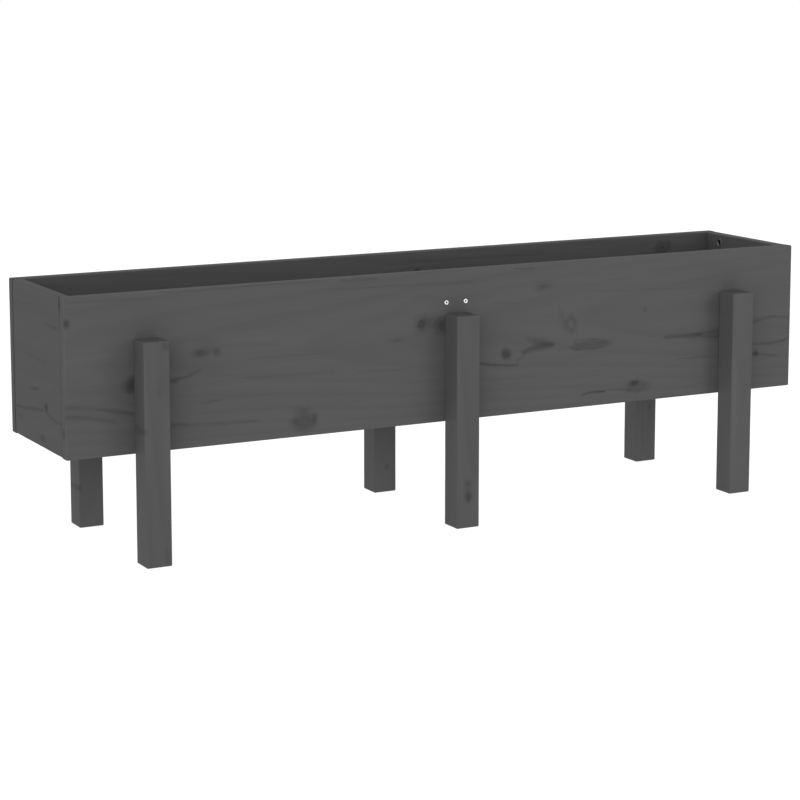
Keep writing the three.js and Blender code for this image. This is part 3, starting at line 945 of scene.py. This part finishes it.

# %% [markdown]
# ## The end boards
# Their grain runs from front to back. The left one shows, so its knots are
# listed one by one too: one with a long dark ring on each side of it, and a few
# smaller ones. The inside face of each is bored for four cam discs.
#
# A dark shadow is painted into the seams where the end boards meet the long
# boards. On the left board it runs all the way down the back seam and only near
# the top of the front seam. The right board is the same one turned round.

# %% End boards
END_KNOTS = [
    (-36, 216, 11, 10, 0.5, 0.95, 0, 0.6), (-20, 169, 18, 8, 0.38, 0.95, 8), (-75, 332.5, 6, 5, 0.3),
    (-60, 333, 26, 6, 0.08), (70, 184, 20, 8, 0.14, 0.85),
]
END_STREAKS = [
    (-30, 210.5, 100, 196, 0.26, 3.6, 3.2, 0.5, -1), (-110, 202, -32, 208, 0.2, 3, 5, 0.5, -2),
    (-8, 237, 34, 232, 0.26, 4.2, 1.6, 0.6), (-95, 333, -30, 333, 0.1, 2.6, 2.6, 1),
    (-45, 277, 50, 281, 0.08, 3, 3, 1), (-110, 245, -50, 243, 0.1, 1.8, 1.8),
    (20, 352, 90, 350, 0.09, 2, 2, 0.6), (-20, 309, 60, 312, 0.07, 2.4, 2.4, 0.6),
]
# On one seam of each end board the painted shadow reaches down only this far from the top.
OPEN_SEAM = 25.0
seam_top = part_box("left_end_board")[1].z / MM - OPEN_SEAM
SEAM_BOTTOMS = {"left": {"front": seam_top, "back": 0}, "right": {"front": 0, "back": seam_top}}

left_pine = stained_pine("pine_left_end_board", (268, -40), END_KNOTS, END_STREAKS, tone=0.865)
right_pine = stained_pine("pine_right_end_board", (255, 50), *RIGHT_FIGURE, tone=1.05)

for end, finish in zip(ENDS, (left_pine, right_pine)):
    cutters = [cam_cutter(*cam) for cam in on(end, CAMS).items()]
    board = timber(f"{end}_end_board", "YZX", finish, cutters=cutters, stations="YZ")
    mark_seams(board.data, SEAM_BOTTOMS[end])
    print(board.name, len(board.data.polygons), "faces,", len(cutters), "bores")

# %% [markdown]
# ## The legs
# Six square posts, sawn from quarter-round stock so that straight grain runs up
# all four faces, with a small knot or two. Their edges are knocked a little
# more than the boards' edges.

# %% Legs
LEG_KNOTS = {
    "front_left": [
        (191, -505, 7, 6, 0.24), (308, -473, 9, 8, 0.3), (252, -482, 22, 9, 0.12, 0.95),
        (150, -473, 110, 7, -0.07), (14, -474, 16, 8, 0.12, 0.95),
    ],
    "front_middle": [(67, -1, 8, 8, 0.32, 0.85), (46, 0, 13, 8, 0.5, 0.85), (55, 1, 28, 12, 0.1, 0.95)],
    "front_right": [(225, 493, 12, 6, -0.08), (170, 474, 120, 4, -0.06)],
    "back_left": [(60, -504, 6, 4, 0.35), (150, -490, 60, 6, 0.08)],
    "back_middle": [(40, 3, 8, 5, 0.24), (140, 9, 50, 5, -0.06)],
    "back_right": [(90, 492, 8, 5, 0.24), (40, 480, 40, 5, 0.07)],
}
LEG_BANDS = 0.12
# These tones are painted light: the back middle and back right legs, which the trough keeps from the key
# lamp, are painted lighter to make up for the light they miss.
LEG_PAINTED_LIGHT = {
    "front_left": 0.96, "front_middle": 0.96, "front_right": 1.0,
    "back_left": 0.97, "back_middle": 1.06, "back_right": 1.06,
}
for count, (spot, knots) in enumerate(LEG_KNOTS.items()):
    node = f"{spot}_leg"
    middle = middle_of(node) / MM
    # Each leg was sawn at a distance of its own from the pith.
    pith = (middle.x + 22 - 9 * count, middle.y + 60 + 11 * count)
    finish = stained_pine(f"pine_{node}", pith, knots, tone=LEG_PAINTED_LIGHT[spot], bands=LEG_BANDS)
    leg = timber(node, "ZXY", finish, wear=1.0)
print("six legs,", len(leg.data.polygons), "faces each")

# %% [markdown]
# ## The base
# Two ledgers carry ten slats, and a flat tie crosses the trough under the rim.
# They are the same pine with the same stain, but from other boards, so each has
# its own place in the log.

# %% Ledgers, slats and tie
base_pine = stained_pine("pine_base", (60, -90), scattered=True, tone=1.03)
slats = sorted(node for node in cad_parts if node.startswith("base_slat_"))
for count, side in enumerate(SIDES):
    timber(f"{side}_ledger", "XZY", base_pine, (3.1 + 2.2 * count, 0.4, 0.2))
timber("cross_tie", "YXZ", base_pine, (7.7, 0.1, -0.2))
for count, node in enumerate(slats):
    timber(node, "YXZ", base_pine, (0.53 * count, 0.37 * count, 0.031 * count))
print("slats:", len(slats))

# %% [markdown]
# ## Zinc-plated steel and die-cast zinc
# Screws are turned from steel wire and plated with bright zinc, which is a
# cool, slightly mottled silver with fine turning marks round the head. The cam
# discs are cast in zinc and left bare, so they are duller and darker. Both are
# metals, so the metallic value is 1 and the IOR stays as it is. The key sockets
# and slots are painted nearly black: painted shade in the recess, together with
# dust and stain that settle there.

# %% Metal finishes
# Key sockets and slots are darkened: painted shade in the recess, with some dust.
RECESS_SHADE_AND_DUST = 0.80
TURNING_MARKS_PER_METRE = 2600.0
MARK_DEPTH = 0.05 * MM


def zinc(name, colour, roughness, blotches_per_metre):
    """A bare metal whose tone and polish vary from place to place."""
    material, add, surface = new_finish(name)
    here = add("ShaderNodeTexCoord").outputs["Object"]
    blotch = add(NOISE, {"Vector": here, "Scale": blotches_per_metre, "Detail": 4.0})
    fine = add(NOISE, {"Vector": here, "Scale": TURNING_MARKS_PER_METRE, "Detail": 2.0})
    tone = add(RANGE, blotch, 0.3, 0.7, 0.82, 1.1)
    recess = add(ATTRIBUTE, attribute_name="recess").outputs["Fac"]
    # The recess mark carries painted shade, with some dust, into sockets and slots.
    shaded_and_dusty = add(MATH, "MULTIPLY_ADD", recess, -RECESS_SHADE_AND_DUST, 1.0)
    open_tone = add(MATH, "MULTIPLY", tone, shaded_and_dusty)
    fill(surface, {
        "Base Color": add(VECTOR_MATH, "SCALE", {0: linear(colour), "Scale": open_tone}),
        "Roughness": add(RANGE, fine, 0.3, 0.7, roughness - 0.08, roughness + 0.12),
        "Normal": add("ShaderNodeBump", {"Height": fine, "Strength": 0.25, "Distance": MARK_DEPTH}),
        "Metallic": 1.0,
    })
    return material


bright_zinc = zinc("bright_zinc_plate", "#d4d6d8", 0.3, 900.0)
cast_zinc = zinc("bare_cast_zinc", "#7b7c7e", 0.55, 600.0)
print("metal finishes:", bright_zinc.name, cast_zinc.name)

# %% [markdown]
# ## Setting fasteners with Geometry Nodes
# The same screw is set again and again, so one is made and Geometry Nodes puts
# a copy at every point of a small point mesh. Each point carries the way that
# its screw faces, and a random spin about the screw's own axis, with a fixed
# seed, because nobody stops every key slot at the same angle.

# %% Geometry Nodes: a fastener on every point
set_tree, add, given = new_group(
    "set_fasteners",
    {
        GEOMETRY: ("Geometry",), "NodeSocketObject": ("Fastener",), FLOAT: ("Spin",),
        INTEGER: ("Seed",), MATERIAL: ("Finish",),
    },
    {GEOMETRY: ("Geometry",)}, "GeometryNodeTree",
)
model = add("GeometryNodeObjectInfo", {"Object": given["Fastener"]})
facing_mark = add("GeometryNodeInputNamedAttribute", {"Name": "facing"}, data_type="FLOAT_VECTOR")
facing_turn = add("FunctionNodeEulerToRotation", facing_mark)
spin_inputs = {2: 0.0, 3: given["Spin"], "Seed": given["Seed"]}
random_spin = add("FunctionNodeRandomValue", spin_inputs, data_type="FLOAT").outputs[1]
spin_turn = add("FunctionNodeEulerToRotation", add(COMBINE, {"Z": random_spin}))
both_turns = add("FunctionNodeRotateRotation", facing_turn, spin_turn, rotation_space="LOCAL")
copies = add("GeometryNodeInstanceOnPoints", {
    "Points": given["Geometry"], "Instance": model.outputs["Geometry"], "Rotation": both_turns,
})
real = add("GeometryNodeRealizeInstances", {"Geometry": copies})
coated = add("GeometryNodeSetMaterial", {"Geometry": real, "Material": given["Finish"]})
add("NodeGroupOutput", {"Geometry": coated})


def heads(fasteners):
    """The place and facing of each fastener's head, from {node: facing}."""
    return [(head_place(node, facing), facing) for node, facing in fasteners.items()]


def set_fasteners(name, model_mesh, places, finish, nodes=(), spin=math.tau, seed=1):
    """One piece that holds a fastener at every (place, facing)."""
    points = bpy.data.meshes.new(name + "_points")
    points.from_pydata([place for place, _ in places], [], [])
    mark(points, "facing", np.array([tuple(FACING[facing]) for _, facing in places]))
    pattern = new_object(name + "_pattern", model_mesh)
    piece = grow(name, set_tree, points, {
        "Fastener": pattern, "Spin": spin, "Seed": seed, "Finish": finish,
    })
    bpy.data.objects.remove(pattern)
    bpy.data.meshes.remove(model_mesh)
    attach(piece, "root")
    if nodes:
        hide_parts(*nodes)
    print(name, len(places), "copies,", len(piece.data.polygons), "faces")


# %% Mark what lies in a recess
def mark_recess(mesh, inner_radius, depth):
    """Marks the points of an upward fastener that lie below its face and near its axis."""
    points = points_of(mesh) / MM
    inside = (np.hypot(points[:, 0], points[:, 1]) < inner_radius) & (points[:, 2] < -depth)
    mark(mesh, "recess", inside.astype(float))
    print(mesh.name, int(inside.sum()), "of", len(points), "points in the recess")


# %% [markdown]
# ## Screws
# A wood screw is turned: a point, a shank with thread ridges, a cone under the
# head and a flat top with a small chamfer. The key's socket is a hexagonal hole
# cut into the head. Its top stands at zero, and the shank runs down from it.

# %% One screw
SCREW_SIDES = 24
THREAD_PITCH = 2.4
THREAD_DEPTH = 0.35
THREAD_SHARE = 0.65
CHAMFER = 0.25


def carved(mesh, *cutters):
    """A mesh with the cutter meshes taken out of it, one after another."""
    body = new_object(mesh.name, mesh)
    for cutter in cutters:
        cut_away(body, [cutter])
    mesh = body.data
    bpy.data.objects.remove(body)
    return mesh


def screw_mesh(screw):
    """A countersunk screw with a hexagonal socket, its head's top at the origin, facing up."""
    length, shank, head, head_depth, key, key_depth = screw
    root = shank - THREAD_DEPTH
    profile = [(0, -length), (shank * 0.45, -length + 2)]
    height = -length + 4
    while height < -length * (1 - THREAD_SHARE):
        crest = height + THREAD_PITCH * 0.4
        profile += [(root, height), (shank, crest), (root, height + THREAD_PITCH * 0.6)]
        height += THREAD_PITCH
    profile += [
        (shank, height + CHAMFER), (shank, -head_depth), (head, -2 * CHAMFER), (head, -CHAMFER),
        (head - CHAMFER, 0), (key + 2 * CHAMFER, 0), (key + CHAMFER, -CHAMFER), (0, -CHAMFER),
    ]
    socket = [(0, -key_depth), (key, -key_depth), (key, 1), (0, 1)]
    mesh = carved(turned_mesh("screw", profile, SCREW_SIDES), turned_mesh("key", socket, 6))
    mark_recess(mesh, key + CHAMFER / 2, CHAMFER / 2)
    return mesh


print("thread pitch", THREAD_PITCH, "mm")

# %% Tie screws and leg screws
for name, screw, screws, seed in (
    ("tie_screws", TIE_SCREW, TIE_SCREWS, 3),
    ("leg_screws", LEG_SCREW, LEG_SCREWS, 5),
):
    set_fasteners(name, screw_mesh(screw), heads(screws), bright_zinc, screws, seed=seed)

# %% [markdown]
# The slats and ledgers have small screws of their own. Their places follow the
# slats: two at each end of every slat, over the ledger below it, and five along
# each ledger, through it into the long board.

# %% Slat and ledger screws
SLAT_SCREW_INSET = 18 * MM
LEDGER_SCREWS = 5
LEDGER_SCREW_INSET = 90 * MM

slat_places = [
    (Vector((x, middle_of(f"{side}_ledger").y, hi.z)), "up")
    for lo, hi in map(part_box, slats)
    for side in SIDES
    for x in (lo.x + SLAT_SCREW_INSET, hi.x - SLAT_SCREW_INSET)
]
ledger_places = []
for side in SIDES:
    node = f"{side}_ledger"
    lo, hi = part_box(node)
    face = head_place(node, OPPOSITE[side])
    for x in np.linspace(lo.x + LEDGER_SCREW_INSET, hi.x - LEDGER_SCREW_INSET, LEDGER_SCREWS):
        ledger_places.append((Vector((float(x), face.y, face.z)), OPPOSITE[side]))
for name, places, seed in (("slat_screws", slat_places, 7), ("ledger_screws", ledger_places, 11)):
    set_fasteners(name, screw_mesh(SLAT_SCREW), places, bright_zinc, seed=seed)

# %% [markdown]
# ## Cam fittings
# A cam disc is cast in one piece: a rim, a dished face with a cross-shaped slot
# for the driver, and a mouth in its side for the bolt. A quarter turn pulls the
# bolt, and with it the long board, hard against the end board's edge.

# %% Cam discs and their bolts
CAM_SIDES = 48
DISH_RADIUS = 4.6
DISH_DEPTH = 1.6
SLOT_HALF_LENGTH = 3.6
SLOT_HALF_WIDTH = 0.8
SLOT_DEPTH = 3.2
MOUTH_RADIUS = 3.5
BOLT_SETBACK = 8.0


def block_mesh(name, lo, hi):
    """A plain block between two corners, in millimetres, for cutting with."""
    shape = bmesh.new()
    bmesh.ops.create_cube(shape, size=1)
    for vertex in shape.verts:
        vertex.co = Vector([(lo[k] + (vertex.co[k] + 0.5) * (hi[k] - lo[k])) * MM for k in range(3)])
    return mesh_from(shape, name)


def cam_mesh():
    """A cam disc whose face is at the origin and looks up, with its mouth towards +X."""
    profile = [
        (0, -CAM_THICKNESS), (CAM_RADIUS - 0.6, -CAM_THICKNESS), (CAM_RADIUS, -CAM_THICKNESS + 0.6),
        (CAM_RADIUS, -0.5), (CAM_RADIUS - 0.5, 0), (DISH_RADIUS + 0.4, 0),
        (DISH_RADIUS, -0.4), (DISH_RADIUS - 1.2, -DISH_DEPTH), (0, -DISH_DEPTH),
    ]
    past = CAM_RADIUS + CUT_PAST
    mouth = [(0, -2), (MOUTH_RADIUS, -2), (MOUTH_RADIUS, past), (0, past)]
    slots = [
        block_mesh("slot", (-x, -y, -SLOT_DEPTH), (x, y, 1))
        for x, y in ((SLOT_HALF_LENGTH, SLOT_HALF_WIDTH), (SLOT_HALF_WIDTH, SLOT_HALF_LENGTH))
    ]
    mesh = carved(
        turned_mesh("cam", profile, CAM_SIDES),
        turned_mesh("mouth", mouth, HOLE_SIDES, "right", (0, 0, -BOLT_SETBACK * MM)), *slots,
    )
    mark_recess(mesh, DISH_RADIUS - 0.8, 1.0)
    return mesh


BOLT_THREADS = 5
BOLT_PITCH = 1.9
BOLT_PROFILE = [
    (0, -46.2), (2.2, -46.2), (3.1, -45.2), (3.1, -42.7), (2.4, -41.7), (2.4, -13.8), (3.6, -12.8),
    (3.6, -10.8), (3.0, -10.6),
]
for ridge in range(BOLT_THREADS):
    base = -10.2 + BOLT_PITCH * ridge
    BOLT_PROFILE += [(2.7, base), (3.2, base + 0.8), (2.7, base + 1.6)]
BOLT_PROFILE += [(2.2, -0.6), (0, 0)]

for end in ENDS:
    cams = on(end, CAMS)
    set_fasteners(f"{end}_cams", cam_mesh(), heads(cams), cast_zinc, cams, spin=0.0)
bolt_mesh = turned_mesh("bolt", BOLT_PROFILE, SCREW_SIDES)
set_fasteners("cam_bolts", bolt_mesh, heads(BOLTS), cast_zinc, BOLTS)
